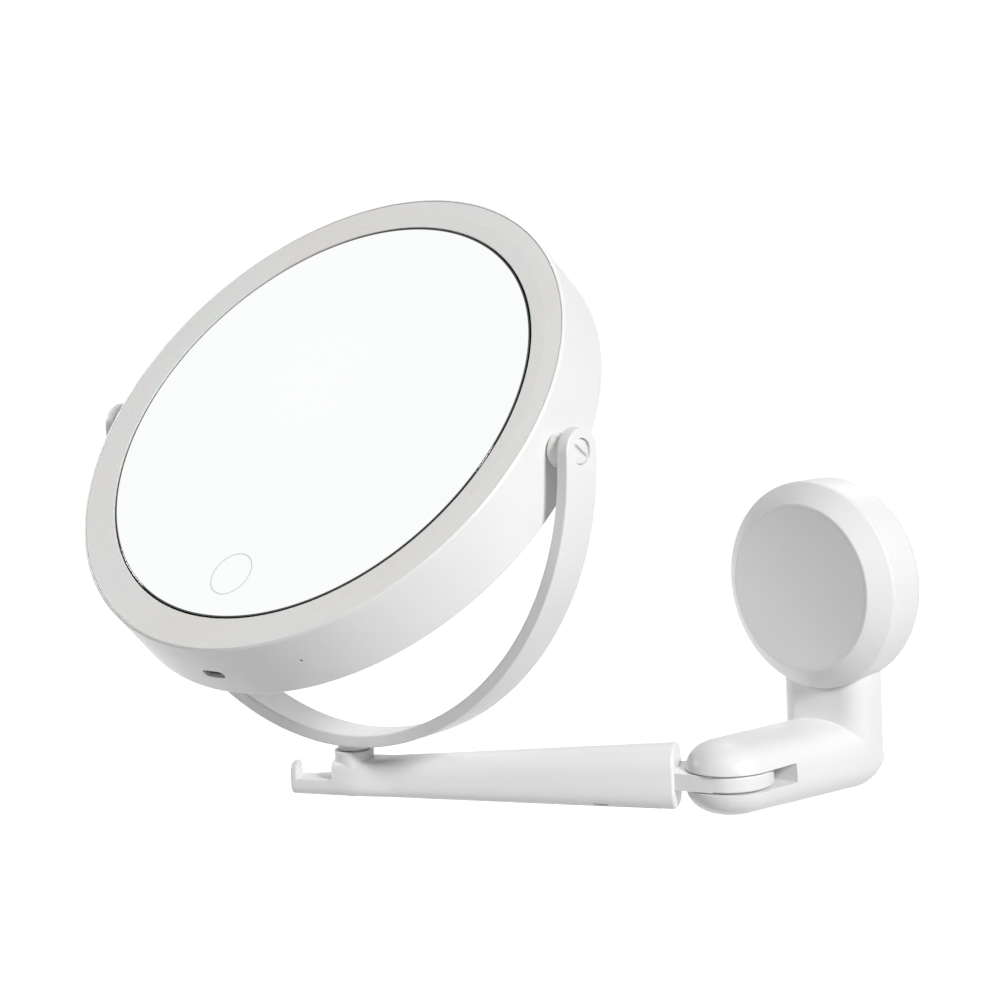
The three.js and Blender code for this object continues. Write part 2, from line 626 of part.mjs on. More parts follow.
function diffuserRing() {
  const front = HEAD_FRONT - 0.2;
  const profile = [
    [DIFFUSER_INNER, 11], [DIFFUSER_OUTER, 11], [DIFFUSER_OUTER, front - 0.3], [DIFFUSER_OUTER - 0.4, front],
    [DIFFUSER_INNER + 0.5, front], [DIFFUSER_INNER, front - 0.4],
  ];
  return turned(profile, 'out', LARGE);
}

const GLASS_FRONT = HEAD_FRONT - 0.5;
const GLASS_BACK = GLASS_FRONT - GLASS_THICKNESS;

function mirrorGlass() {
  const profile = [
    [0, GLASS_BACK], [MIRROR_RADIUS, GLASS_BACK], [MIRROR_RADIUS, GLASS_FRONT - 0.3],
    [MIRROR_RADIUS - 0.3, GLASS_FRONT], [0, GLASS_FRONT],
  ];
  return turned(profile, 'out', LARGE);
}

const mirrorTape = () => tube(78, 85.6, GLASS_BACK - 0.7, GLASS_BACK - GAP, 'out', MEDIUM);

const PLATE_FRONT = GLASS_BACK - 1;
const FLANGE_SPAN = [5, 6.2];

// Tray behind the glass. Its flange carries the ring of lights.
function mirrorCarrier() {
  const [flangeBack, flangeFront] = FLANGE_SPAN;
  const profile = [
    [0, PLATE_FRONT], [86, PLATE_FRONT], [86, flangeFront], [96.4, flangeFront], [96.4, flangeBack],
    [84.2, flangeBack], [84.2, PLATE_FRONT - 1.8], [0, PLATE_FRONT - 1.8],
  ];
  const touchRoom = rod(2.6, 0, 20, 'out').translate([0, 0, -TOUCH_DROP]);
  const screwHoles = turnsOf(CARRIER_SCREWS).map((turn) =>
    rod(1.7, 0, 8, 'out', FINE).translate(around(SCREW_CIRCLE, turn)));
  return cut(turned(profile, 'out', LARGE), touchRoom, ...screwHoles);
}

const BOARD_SPAN = [6.5, 7.5];

function ledRingBoard() {
  const [back, front] = BOARD_SPAN;
  const ring = tube(87.2, 96.2, back, front, 'out', LARGE);
  const pitch = 360 / LED_COUNT;
  const chips = Array.from({ length: LED_COUNT }, (_, i) =>
    block([-1.4, -front - 0.8, -90.5], [1.4, -front + 0.2, -87.9]).rotate([0, pitch * (i + 0.5), 0]));
  const screwHoles = turnsOf(CARRIER_SCREWS).map((turn) =>
    rod(1.7, 0, 9, 'out', FINE).translate(around(SCREW_CIRCLE, turn)));
  return cut(join(ring, ...chips), ...screwHoles);
}

const carrierScrew = (turn) =>
  screw({ head: 2.4, headLength: 1.2, shank: 1.1, length: 8.6, axis: 'out' })
    .rotate([180, 0, 0]).translate([0, -BOARD_SPAN[1] - 1.4, 0]).translate(around(SCREW_CIRCLE, turn));

const BOARD_BACK = -5.8;

function controlBoard() {
  const thickness = 1.6;
  const board = block([-22, -BOARD_BACK - thickness, -91], [22, -BOARD_BACK, -63]);
  const chips = join(
    block([-15, -BOARD_BACK - thickness - 1, -74], [-9, -BOARD_BACK - thickness + 0.5, -68]),
    block([8, -BOARD_BACK - thickness - 1.4, -80], [13, -BOARD_BACK - thickness + 0.5, -75]),
    block([-17, -BOARD_BACK - thickness - 0.8, -86], [-14, -BOARD_BACK - thickness + 0.5, -82]),
  );
  return join(board, chips);
}

function chargingSocket() {
  const [outer, inner] = [[9.2, 3.3], [8.4, 2.5]];
  const shell = prism(roundedSlot(...outer), 91.5, 99.4, 3);
  const mouth = prism(roundedSlot(...inner), 92.5, 105, 3);
  const tongue = block([-3.2, -0.35, 91.8], [3.2, 0.35, 98.6]);
  return join(cut(shell, mouth), tongue).rotate([0, 180, 0]).translate([0, -PORT_DEPTH, 0]);
}

const batteryCell = () => block([-31, 5.2, -18], [31, 11.4, 20]);
const touchElectrode = () => turned(
  [[0, -3.9], [1.2, -3.9], [1.2, PLATE_FRONT + 0.1], [7.5, PLATE_FRONT + 0.1], [7.5, PLATE_FRONT + 0.6],
    [0, PLATE_FRONT + 0.6]],
  'out',
  20,
).translate([0, 0, -TOUCH_DROP]);
const indicatorLens = () => rod(0.5, -99.7, -97, 'z', FINE)
  .rotate([0, -INDICATOR_ANGLE, 0])
  .translate([0, -1, 0]);

const pivotInsert = (side) => sideways(
  (a, b) => tube(PIVOT_SCREW_SHANK + GAP, INSERT_RADIUS, a, b, 'x'),
  side,
  ...INSERT_SPAN,
);
const pivotBush = (side) => sideways(
  (a, b) => tube(PIVOT_SCREW_SHANK + GAP, PIVOT_BUSH_RADIUS, a, b, 'x', 20),
  side,
  HEAD_REAR_RADIUS + GAP,
  YOKE_OUTER - YOKE_THICKNESS - GAP,
);
const pivotScrew = (side) => screw({
  head: PIVOT_SCREW_HEAD, headLength: 1.8, shank: PIVOT_SCREW_SHANK, length: 22.4, axis: 'x', slot: 1,
}).rotate([side > 0 ? -6 : 20, side > 0 ? 180 : 0, 0]).translate([side * (YOKE_OUTER - 0.4), 0, 0]);

const batteryLead = () => lead([[10, 8, -18.3], [10, 8, -26], [6, 6.4, -44], [4, 4.9, -62.7]], 0.8);
const lightLead = () => lead([[-24, 5, -68], [-32, 1, -70], [-44, -1.5, -73.5], [-47.5, -2.4, -75]], 0.7);

// ---------------------------------------------------------------------------------------- assembly

const mirror = new THREE.Group();

const base = new THREE.Group();
mirror.add(base);
addPiece(base, 'suction_pad', suctionPad(), 'soft');
addPiece(base, 'pull_stud', pullStud(), 'steel');
addPiece(base, 'thrust_washer', thrustWasher(), 'nylon');
addPiece(base, 'lock_knob', lockKnob(), 'white');
addPiece(base, 'knob_cap', knobCap(), 'white');
addPiece(base, 'knob_nut', knobNut(), 'brass');
addPiece(base, 'wall_bracket', wallBracket(), 'white');
addPiece(base, 'bracket_rear_cover', rearCover(), 'white');
addPiece(base, 'hinge_screw', hingeScrew(), 'steel');
addPiece(base, 'hinge_insert', hingeInsert(), 'brass');

const arm = new THREE.Group();
arm.position.set(0, -FORK_OUT, -FORK_DROP);
arm.rotation.z = degrees(180 + ARM_ANGLE);
mirror.add(arm);
addPiece(arm, 'arm_shell', armShell(), 'white');
addPiece(arm, 'arm_bottom_cover', armCover(), 'white');
ARM_SCREWS.forEach((x, i) => addPiece(arm, `arm_cover_screw_${i + 1}`, armCoverScrew(x), 'steel'));
addPiece(arm, 'hinge_bush', hingeBush(), 'nylon');
addPiece(arm, 'swivel_plug', swivelPlug(), 'white');

const yoke = new THREE.Group();
const reach = [Math.cos, Math.sin].map((share) => share(degrees(ARM_ANGLE)) * ARM_LENGTH);
yoke.position.set(-reach[0], -FORK_OUT - reach[1], STEM_HEIGHT - FORK_DROP);
yoke.rotation.z = degrees(YOKE_ANGLE);
mirror.add(yoke);
addPiece(yoke, 'yoke_frame', yokeFrame(), 'white');
addPiece(yoke, 'swivel_washer', swivelWasher(), 'steel');
addPiece(yoke, 'swivel_spring_washer', swivelSpring(), 'steel');
addPiece(yoke, 'swivel_screw', swivelScrew(), 'steel');

const head = new THREE.Group();
head.rotation.x = -degrees(HEAD_TILT);
yoke.add(head);
addPiece(head, 'head_housing', headHousing(), 'white');
addPiece(head, 'back_cover', backCover(), 'white');
turnsOf(BACK_SCREWS).forEach((turn, i) =>
  addPiece(head, `back_cover_screw_${i + 1}`, backCoverScrew(turn), 'steel'));
addPiece(head, 'diffuser_ring', diffuserRing(), 'frosted');
addPiece(head, 'mirror_glass', mirrorGlass(), 'mirror');
addPiece(head, 'mirror_tape', mirrorTape(), 'foam');
addPiece(head, 'mirror_carrier', mirrorCarrier(), 'white');
turnsOf(CARRIER_SCREWS).forEach((turn, i) =>
  addPiece(head, `carrier_screw_${i + 1}`, carrierScrew(turn), 'steel'));
addPiece(head, 'led_ring_board', ledRingBoard(), 'white');
addPiece(head, 'control_board', controlBoard(), 'board');
addPiece(head, 'charging_socket', chargingSocket(), 'steel');
addPiece(head, 'battery_cell', batteryCell(), 'cell');
addPiece(head, 'battery_lead', batteryLead(), 'lead');
addPiece(head, 'light_lead', lightLead(), 'lead');
addPiece(head, 'touch_electrode', touchElectrode(), 'brass');
addPiece(head, 'indicator_lens', indicatorLens(), 'lens');
for (const [name, side] of Object.entries(SIDES)) {
  addPiece(head, `pivot_insert_${name}`, pivotInsert(side), 'brass');
  addPiece(head, `pivot_bush_${name}`, pivotBush(side), 'nylon');
  addPiece(head, `pivot_screw_${name}`, pivotScrew(side), 'white');
}

export default mirror;
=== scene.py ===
"""Looks of the extendable shaving mirror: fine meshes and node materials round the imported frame.

Shapes are in millimetres in each piece's own frame, and turn into metres when a piece is made.
The room frame is the row's: the wall is y = 0, the room is on its -Y side, and +Z is up.
"""

import json
import math

import bmesh
import bpy
from mathutils import Matrix, Vector

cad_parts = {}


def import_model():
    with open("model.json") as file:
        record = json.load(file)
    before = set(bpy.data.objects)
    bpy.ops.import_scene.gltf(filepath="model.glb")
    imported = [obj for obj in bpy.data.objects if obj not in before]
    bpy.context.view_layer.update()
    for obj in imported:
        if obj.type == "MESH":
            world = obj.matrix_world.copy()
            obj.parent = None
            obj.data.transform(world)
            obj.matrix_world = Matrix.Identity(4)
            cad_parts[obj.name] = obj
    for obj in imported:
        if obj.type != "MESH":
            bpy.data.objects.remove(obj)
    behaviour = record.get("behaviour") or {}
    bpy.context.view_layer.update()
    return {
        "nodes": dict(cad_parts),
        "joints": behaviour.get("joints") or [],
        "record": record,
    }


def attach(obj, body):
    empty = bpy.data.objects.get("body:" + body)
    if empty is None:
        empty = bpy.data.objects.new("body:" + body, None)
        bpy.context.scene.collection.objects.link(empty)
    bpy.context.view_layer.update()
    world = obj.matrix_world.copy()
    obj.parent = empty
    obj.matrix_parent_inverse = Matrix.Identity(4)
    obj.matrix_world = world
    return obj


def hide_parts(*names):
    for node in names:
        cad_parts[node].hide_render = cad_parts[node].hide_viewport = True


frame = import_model()
JOINTS = {joint["name"]: joint for joint in frame["joints"]}

# ------------------------------------------------------------------------------ driving dimensions

STEPS = 144  # round the large turned pieces
SMALL_STEPS = 48
SECTION_STEPS = 96  # round the section of a bar

# Head: radii round its axis, and heights along it towards the front
HEAD_TILT = 44.2  # degrees
HEAD_FRONT_RADIUS = 99.85
HEAD_REAR_RADIUS = 100.5
HEAD_FRONT = 13.36
HEAD_REAR = -13.31
WALL_INSIDE = 97.6
RIM_INSIDE = 98.9
RING_SEAT = 10.7
RING_INNER = 86.6
RING_OUTER = 98
RING_LIP = 98.8
RING_CREST = 92.3
MIRROR_RADIUS = 86
GLASS_FRONT = 12.86
GLASS_THICKNESS = 2
GLASS_GAP_SHADE = 0.5  # width of the band painted dark round the glass: painted shade for the gap under the ring
TOUCH_DROP = 68.4
TOUCH_RADIUS = 8.4
TOUCH_LINE = 0.3
PORT = (10, 3.9, -2)  # width, height and place along the head's axis
INDICATOR_ANGLE = 22.7  # degrees round from the port
INDICATOR_HOLE = 0.6
BACK_FACE = -13.2
BACK_TOP = -11.8
BACK_RADIUS = 94.6
BACK_STEP_RADIUS = 74
BACK_SCREWS = 5
BACK_SCREW_CIRCLE = 91.5
SCREW_HEAD = 2.6

# Yoke, from the pivots
YOKE_OUTER = 111.35
YOKE_THICKNESS = 4.6
YOKE_WIDTH = 16.2
YOKE_EDGE = 0.7
COLLAR_RADIUS = 5.8
COLLAR_BOTTOM = 113.6
SPIGOT_RADIUS = 4
PIVOT_HEAD_RADIUS = 4.2
PIVOT_HOLE_RADIUS = 4.6
PIVOT_HOLE_DEPTH = 2.4
PIVOT_SHANK_HOLE = 2.5
BUSH = (101.1, 106.45)  # inner and outer end
BUSH_RADIUS = 6
STEM_HEIGHT = 124.2

# Arm, from the hinge
ARM_START = 18.9
ARM_END = 160.3
ARM_HALF = (11.6, 10.3)  # half height and half width at the wide end
TIP_HALF = (5.9, 5.0)
ARM_ROUNDNESS = 3
ARM_POCKET = (24, 122)
ARM_SCREWS = (46, 112)
ARM_SCREW_HEAD = 2.5
COVER_THICKNESS = 2
SEAM_SIDE = 3.2  # from the arm's side to the cover's seam
SEAM_GAP = (0.45, 0.55)  # along and across the arm
PRY_HALF = 2.6  # half length of the pry gap in that seam
BOSS_AT = 137
BOSS_RADIUS = 7.15
BOSS_TOP = 10.3
BOSS_SWELL = 16  # the arm is wider this far on both sides of the boss
HOOK_GAP = (144.3, 158.1)
PLUG_RADIUS = 4.9
PLUG_FACE = -6.35
PLUG_HOLE = 5
HINGE_HOLE = 5
TONGUE_RADIUS = 15.2
TONGUE_HALF = 3
TONGUE_ROOT = 9.6

# Wall bracket: depths are distances from the wall
FORK_RADIUS = 16.5
FORK_HALF_HEIGHT = 13.2
FORK_ROUNDNESS = 2.6
BAR_END_RADIUS = 19.4
FORK_SAG = 2.8
SLOT_HALF = 3.5
SLOT_REACH = 15.8
NECK_RADIUS = 19.1
NECK_FRONT = 14.8
NECK_CORNER = 9
NECK_TOP = -28
ELBOW_RADIUS = 7
BRACKET_BACK = 0.9
BAND_FRONT = 15
BAND_RADIUS = 37.98
BAND_INNER = 35
WEB_FRONT = 6.9
HUB_FRONT = 10.6
HUB_RADIUS = 13
HUB_HOLE = 4.5
COVER_HALF = 12.7
COVER_SPAN = (-65, -40)
COVER_DEPTH = (1.2, 2.2)

# Suction pad and knob
PAD_RADIUS = 36.95
PAD_RIM = 0.6
PAD_DOME = 3.4
KNOB_RADIUS = 37.95
KNOB_BACK = 9
KNOB_FRONT_EDGE = 15.06
KNOB_FACE = 22.15
KNOB_FACE_RADIUS = 30.2
KNOB_HUB = (8.4, 11.5)  # hole and outside
KNOB_HUB_BACK = 11.9
KNOB_WEB = 18.1
CAP_RADIUS = 29.46
CAP_SEAT = KNOB_FACE - 1.7

# Materials
WHITE = (0.86, 0.86, 0.855)
WHITE_DEEP = (0.835, 0.836, 0.835)

# ------------------------------------------------------------------------------------------ places

MM = 0.001
OUT = Matrix(((1, 0, 0, 0), (0, 0, -1, 0), (0, 1, 0, 0), (0, 0, 0, 1)))  # local Z points into the room
HINGE = Vector(JOINTS["arm_swing"]["pos_m"])
STEM = Vector(JOINTS["yoke_swivel"]["pos_m"])
PIVOT = Vector(JOINTS["head_tilt"]["pos_m"])
TILT_AXIS = Vector(JOINTS["head_tilt"]["axis"])
FORK_OUT = -HINGE.y / MM

BASE_PLACE = OUT
BRACKET_PLACE = Matrix.Identity(4)
arm_turn = math.atan2(STEM.y - HINGE.y, STEM.x - HINGE.x)
ARM_PLACE = Matrix.Translation(HINGE) @ Matrix.Rotation(arm_turn, 4, "Z")
yoke_turn = math.atan2(TILT_AXIS.y, TILT_AXIS.x)
YOKE_PLACE = Matrix.Translation(PIVOT) @ Matrix.Rotation(yoke_turn, 4, "Z")
HEAD_PLACE = YOKE_PLACE @ Matrix.Rotation(-math.radians(HEAD_TILT), 4, "X") @ OUT

# ------------------------------------------------------------------------------------ mesh helpers


def fillet(corners, steps):
    """Outline of (x, y, rounding) corners, each turned into a short curve."""
    outline = []
    for i, (x, y, rounding) in enumerate(corners):
        here = Vector((x, y))
        before = Vector(corners[i - 1][:2]) - here
        after = Vector(corners[(i + 1) % len(corners)][:2]) - here
        if rounding == 0:
            outline.append(here)
            continue
        reach = rounding / math.tan(before.angle(after) / 2)
        reach = min(reach, 0.49 * before.length, 0.49 * after.length)
        start = here + before.normalized() * reach
        end = here + after.normalized() * reach
        for k in range(steps + 1):
            t = k / steps
            outline.append((1 - t) ** 2 * start + 2 * t * (1 - t) * here + t * t * end)
    return outline


def skin(mesh, rings, closed=False, capped=True):
    """Faces between rings of vertices. A ring of one vertex is a pole."""
    pairs = list(zip(rings, rings[1:]))
    if closed:
        pairs.append((rings[-1], rings[0]))
    for low, high in pairs:
        count = max(len(low), len(high))
        if count == 1:
            continue
        for i in range(count):
            j = (i + 1) % count
            bottom = [low[i % len(low)], low[j % len(low)]]
            top = [high[j % len(high)], high[i % len(high)]]
            face = list(dict.fromkeys(bottom + top))
            mesh.faces.new(face)
    if capped and not closed:
        for ring in (rings[0], rings[-1]):
            if len(ring) > 2:
                mesh.faces.new(ring)
    bmesh.ops.recalc_face_normals(mesh, faces=mesh.faces)
    return mesh


def lathe(corners, steps=STEPS, curve=5):
    """Solid turned about local Z, from a closed outline of (radius, height, rounding)."""
    mesh = bmesh.new()
    rings = []
    for point in fillet(corners, curve):
        if point.x < 1e-6:
            rings.append([mesh.verts.new((0, 0, point.y))])
            continue
        ring = []
        for i in range(steps):
            angle = 2 * math.pi * i / steps
            place = (point.x * math.cos(angle), point.x * math.sin(angle), point.y)
            ring.append(mesh.verts.new(place))
        rings.append(ring)
    return skin(mesh, rings, closed=True, capped=False)


def rod(radius, low, high, steps=SMALL_STEPS):
    return lathe([(0, low, 0), (radius, low, 0), (radius, high, 0), (0, high, 0)], steps)


def loft(rings):
    mesh = bmesh.new()
    return skin(mesh, [[mesh.verts.new(point) for point in ring] for ring in rings])


def prism(outline, low, high):
    return loft([[(x, y, z) for x, y in outline] for z in (low, high)])


def block(low, high):
    outline = [(low[0], low[1]), (high[0], low[1]), (high[0], high[1]), (low[0], high[1])]
    return prism(outline, low[2], high[2])


def superellipse(half_width, half_height, exponent):
    def bulge(value):
        return math.copysign(abs(value) ** (2 / exponent), value)

    outline = []
    for i in range(SECTION_STEPS):
        angle = 2 * math.pi * i / SECTION_STEPS
        outline.append((half_width * bulge(math.cos(angle)), half_height * bulge(math.sin(angle))))
    return outline


def moved(mesh, *matrices):
    """The same shape, moved by each matrix in turn."""
    for matrix in matrices:
        mesh.transform(matrix)
    bmesh.ops.recalc_face_normals(mesh, faces=mesh.faces)
    return mesh


def shift(x, y, z):
    return Matrix.Translation((x, y, z))


def turn(degrees, axis):
    return Matrix.Rotation(math.radians(degrees), 4, axis)


def as_object(mesh, name):
    data = bpy.data.meshes.new(name)
    mesh.to_mesh(data)
    mesh.free()
    made = bpy.data.objects.new(name, data)
    bpy.context.scene.collection.objects.link(made)
    return made


def combine(body, steps):
    """Joins and cuts shapes in order. Each step is an operation and a shape."""
    made = as_object(body, "body")
    for operation, shape in steps:
        tool = as_object(shape, "tool")
        change = made.modifiers.new(operation, "BOOLEAN")
        change.operation = operation
        change.solver = "EXACT"
        change.object = tool
        bpy.context.view_layer.update()
        shown = made.evaluated_get(bpy.context.evaluated_depsgraph_get())
        data = bpy.data.meshes.new_from_object(shown)
        made.modifiers.clear()
        made.data = data
        bpy.data.objects.remove(tool)
    mesh = bmesh.new()
    mesh.from_mesh(made.data)
    bpy.data.objects.remove(made)
    bmesh.ops.remove_doubles(mesh, verts=mesh.verts, dist=0.002)
    bmesh.ops.dissolve_degenerate(mesh, edges=mesh.edges, dist=0.002)
    return mesh


def add(tool):
    return ("UNION", tool)


def cut(tool):
    return ("DIFFERENCE", tool)


def piece(name, mesh, place, body, nodes, material, edge=0.0):
    """A finished piece: put in place in metres, its edges softened, with what it stands for."""
    mesh.transform(place @ Matrix.Scale(MM, 4))
    made = as_object(mesh, name)
    for face in made.data.polygons:
        face.use_smooth = True
    if edge:
        soften = made.modifiers.new("soften", "BEVEL")
        soften.width = edge * MM
        soften.segments = 3
        soften.limit_method = "ANGLE"
        soften.angle_limit = math.radians(30)
        soften.miter_outer = "MITER_ARC"
        soften.use_clamp_overlap = True
    even = made.modifiers.new("even", "WEIGHTED_NORMAL")
    even.keep_sharp = True
    even.weight = 60
    made.data.materials.append(material)
    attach(made, body)
    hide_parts(*nodes)


# --------------------------------------------------------------------------------------- materials


class Nodes:
    """A material under construction."""

    def __init__(self, name):
        self.material = bpy.data.materials.new(name)
        self.material.use_nodes = True
        self.tree = self.material.node_tree
        self.shader = self.tree.nodes["Principled BSDF"]
        self.place = self.add("ShaderNodeTexCoord").outputs["Object"]

    def add(self, kind, **values):
        node = self.tree.nodes.new(kind)
        for key, value in values.items():
            setattr(node, key, value)
        return node

    def link(self, output, socket):
        self.tree.links.new(output, socket)

    def noise(self, scale, detail=3.0, roughness=0.5):
        node = self.add("ShaderNodeTexNoise")
        node.inputs["Scale"].default_value = scale
        node.inputs["Detail"].default_value = detail
        node.inputs["Roughness"].default_value = roughness
        self.link(self.place, node.inputs["Vector"])
        return node.outputs["Fac"]

    def range(self, value, low, high):
        return self.step(value, 0.3, 0.7, low, high)

    def ramp(self, value, stops):
        node = self.add("ShaderNodeValToRGB")
        ramp = node.color_ramp
        while len(ramp.elements) < len(stops):
            ramp.elements.new(0.5)
        for element, (position, colour) in zip(ramp.elements, stops):
            element.position = position
            element.color = (*colour, 1)
        self.link(value, node.inputs["Fac"])
        return node.outputs["Color"]

    def colour(self, output):
        self.link(output, self.shader.inputs["Base Color"])

    def distance(self, point):
        """Distance in metres from a point in the row's frame."""
        node = self.add("ShaderNodeVectorMath", operation="DISTANCE")
        node.inputs[1].default_value = point
        self.link(self.place, node.inputs[0])
        return node.outputs["Value"]

    def maths(self, operation, value, second=0.0, third=0.0):
        node = self.add("ShaderNodeMath", operation=operation)
        node.inputs[1].default_value = second
        node.inputs[2].default_value = third
        self.link(value, node.inputs[0])
        return node.outputs["Value"]

    def step(self, value, start, end, low=0, high=1):
        node = self.add("ShaderNodeMapRange")
        node.inputs["From Min"].default_value = start
        node.inputs["From Max"].default_value = end
        node.inputs["To Min"].default_value = low
        node.inputs["To Max"].default_value = high
        self.link(value, node.inputs["Value"])
        return node.outputs["Result"]

    def mix(self, factor, under, over):
        node = self.add("ShaderNodeMix", data_type="RGBA")
        self.link(factor, node.inputs["Factor"])
        self.link(under, node.inputs["A"])
        node.inputs["B"].default_value = (*over, 1)
        return node.outputs["Result"]

    def bump(self, height, distance):
        node = self.add("ShaderNodeBump")
        node.inputs["Distance"].default_value = distance
        node.inputs["Strength"].default_value = 1
        self.link(height, node.inputs["Height"])
        self.link(node.outputs["Normal"], self.shader.inputs["Normal"])

    def set(self, **values):
        for key, value in values.items():
            self.shader.inputs[key.replace("_", " ")].default_value = value


def moulded(name, light, deep, roughness=(0.3, 0.4), grain=0.000006, **values):
    """Injection-moulded plastic: slow colour drift and a very fine satin grain."""
    made = Nodes(name)
    made.colour(made.ramp(made.noise(28, 2), [(0.3, deep), (0.7, light)]))
    made.link(made.range(made.noise(160, 4), *roughness), made.shader.inputs["Roughness"])
    made.bump(made.noise(2600, 2, 0.6), grain)
    made.set(**values)
    return made.material


def metal(name, light, deep):
    """Machined metal, with fine uneven gloss."""
    made = Nodes(name)
    made.colour(made.ramp(made.noise(220, 3), [(0.3, deep), (0.7, light)]))
    made.link(made.range(made.noise(900, 3), 0.22, 0.36), made.shader.inputs["Roughness"])
    made.bump(made.noise(4000, 2), 0.000004)
    made.set(Metallic=1.0)
    return made.material


def frosted(name):
    """Milky ring over the lights, with faint warm and cool patches where they sit behind it."""
    made = Nodes(name)
    warm, middle, cool = (0.8, 0.775, 0.745), (0.81, 0.8, 0.78), (0.79, 0.8, 0.79)
    made.colour(made.ramp(made.noise(17, 1.5), [(0.3, warm), (0.5, middle), (0.7, cool)]))
    made.link(made.range(made.noise(300, 3), 0.42, 0.56), made.shader.inputs["Roughness"])
    made.bump(made.noise(3200, 3, 0.7), 0.00001)
    made.set(Subsurface_Weight=0.15, Subsurface_Scale=0.003)
    return made.material


def silvered():
    """Front of the mirror: the etched ring of the touch spot, and a near-black band of painted shade
    round the edge for the gap under the ring.
    """
    made = Nodes("silvered_glass")
    touch = HEAD_PLACE @ Vector((0, -TOUCH_DROP * MM, GLASS_FRONT * MM))
    off = made.maths("SUBTRACT", made.distance(touch), TOUCH_RADIUS * MM)
    gap = made.maths("ABSOLUTE", off)
    etched = made.step(gap, 0.16 * MM, TOUCH_LINE * MM, 1, 0)
    middle = HEAD_PLACE @ Vector((0, 0, GLASS_FRONT * MM))
    edge = MIRROR_RADIUS - GLASS_GAP_SHADE
    # painted shade: the outermost band of the glass is coloured near black to stand for the shadow in
    # the gap under the ring
    rim = made.step(made.distance(middle), (edge - 0.05) * MM, (edge + 0.05) * MM)
    drift = made.ramp(made.noise(6, 1), [(0.3, (0.955, 0.965, 0.97)), (0.7, (0.975, 0.98, 0.98))])
    engraved = made.mix(etched, drift, (0.42, 0.42, 0.43))
    made.colour(made.mix(rim, engraved, (0.09, 0.1, 0.1)))
    rough = made.maths("MULTIPLY_ADD", etched, 0.5, 0.015)
    made.link(rough, made.shader.inputs["Roughness"])
    made.set(Metallic=1.0)
    return made.material


def board(name, light, deep):
    """Solder mask with fine tracks."""
    made = Nodes(name)
    tracks = made.add("ShaderNodeTexBrick")
    tracks.inputs["Scale"].default_value = 260
    tracks.inputs["Mortar Size"].default_value = 0.03
    tracks.inputs["Color1"].default_value = (*light, 1)
    tracks.inputs["Color2"].default_value = (*deep, 1)
    tracks.inputs["Mortar"].default_value = (*[c * 1.3 for c in light], 1)
    made.link(made.place, tracks.inputs["Vector"])
    made.colour(tracks.outputs["Color"])
    made.link(made.range(made.noise(500), 0.35, 0.5), made.shader.inputs["Roughness"])
    return made.material


MATT = (0.45, 0.6)

shell = moulded("white_shell", WHITE, WHITE_DEEP)
inner = moulded("white_inner", (0.8, 0.8, 0.79), (0.77, 0.77, 0.765), MATT, 0.00001)
ring = frosted("frosted_ring")
glass = silvered()
foam = moulded("foam_tape", (0.03, 0.03, 0.032), (0.02, 0.02, 0.022), (0.8, 0.95), 0.00005)
steel = metal("steel", (0.62, 0.63, 0.64), (0.52, 0.53, 0.54))
brass = metal("brass", (0.78, 0.6, 0.29), (0.7, 0.52, 0.24))
screw_white = moulded("screw_white", (0.85, 0.85, 0.845), (0.8, 0.8, 0.79), (0.3, 0.42))
nylon = moulded("nylon", (0.8, 0.8, 0.785), (0.76, 0.76, 0.745), MATT)
clear = {"Transmission_Weight": 0.15}
pad = moulded("soft_pad", (0.66, 0.7, 0.72), (0.6, 0.64, 0.67), (0.35, 0.5), 0.00001, **clear)
green = board("circuit_board", (0.02, 0.12, 0.06), (0.018, 0.1, 0.05))
led = board("led_board", (0.8, 0.8, 0.77), (0.76, 0.76, 0.73))
wrap = moulded("battery_wrap", (0.36, 0.38, 0.4), (0.3, 0.32, 0.34))
sleeve = moulded("lead_sleeve", (0.4, 0.03, 0.025), (0.3, 0.022, 0.02), (0.4, 0.5))
lens = moulded("indicator", (0.55, 0.555, 0.56), (0.5, 0.505, 0.51), (0.12, 0.2), 0.000002)

FINISHES = {
    "white_shell": shell,
    "white_inner": inner,
    "frosted_diffuser": ring,
    "mirror": glass,
    "foam_tape": foam,
    "steel": steel,
    "screw_white": screw_white,
    "brass": brass,
    "nylon": nylon,
    "soft_pad": pad,
    "circuit_board": green,
    "led_board": led,
    "battery_wrap": wrap,
    "lead_sleeve": sleeve,
    "indicator": lens,
}

# ------------------------------------------------------------------------------- suction base pieces


def suction_pad():
    corners = [
        (0, 0, 0), (PAD_RADIUS, 0, 0.25), (PAD_RADIUS, PAD_RIM, 0.25), (34.2, PAD_RIM, 0.3),
        (33, 2.2, 0.8), (10, PAD_DOME, 3), (0, PAD_DOME, 0),
    ]
    piece("suction_pad_fine", lathe(corners), BASE_PLACE, "base", ["suction_pad"], pad)


def knob():
    hole, hub = KNOB_HUB
    edge = KNOB_FRONT_EDGE
    corners = [
        (hole, KNOB_HUB_BACK, 0.3), (hub, KNOB_HUB_BACK, 0.3), (hub, KNOB_WEB, 1), (28, KNOB_WEB, 1),
        (33, 14.8, 1), (33, KNOB_BACK, 0.3), (34.6, KNOB_BACK, 0.3), (34.6, edge, 0.1),
        (KNOB_RADIUS, edge, 0.05), (KNOB_RADIUS - 0.15, 16.1, 2.2), (30.75, KNOB_FACE - 0.1, 0.7),
        (KNOB_FACE_RADIUS, KNOB_FACE, 0.2), (29.5, KNOB_FACE, 0.03), (29.5, CAP_SEAT, 0),
        (hole, CAP_SEAT, 0.2),
    ]
    piece("knob_fine", lathe(corners), BASE_PLACE, "knob", ["lock_knob"], shell)
    back, face = CAP_SEAT + 0.3, KNOB_FACE - 0.03
    cap = [(0, back, 0), (CAP_RADIUS, back, 0), (CAP_RADIUS, face, 0.03), (0, face, 0)]
    piece("knob_cap_fine", lathe(cap), BASE_PLACE, "knob", ["knob_cap"], shell)


